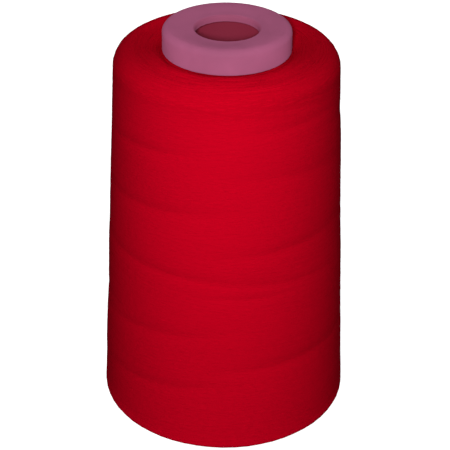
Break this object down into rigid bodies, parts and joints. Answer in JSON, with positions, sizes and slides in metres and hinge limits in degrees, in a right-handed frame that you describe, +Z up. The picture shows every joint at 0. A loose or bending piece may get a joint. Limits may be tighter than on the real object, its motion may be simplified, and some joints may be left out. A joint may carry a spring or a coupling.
{
  "type": "cone of sewing thread",
  "caption": "Tapered cone of sewing thread, cross-wound on a moulded core whose head has a spindle hole; it stands on its foot and the thread pulls off over the top.",
  "frame": {"origin": "centre of the foot's underside, on the spindle axis", "axes": "+Z up the spindle axis, from the foot to the head; +X and +Y square to it, with +X through one slit in the foot"},
  "size_m": [0.063, 0.063, 0.1055],
  "materials": {
    "core_plastic": "satin",
    "head_plastic": "satin",
    "thread": "matte"
  },
  "bodies": {
    "root": {"core_barrel": "core_plastic", "head_ring": "head_plastic", "inner_winding": "thread", "middle_winding": "thread", "outer_winding": "thread", "transfer_tail": "thread"}
  },
  "joints": []
}
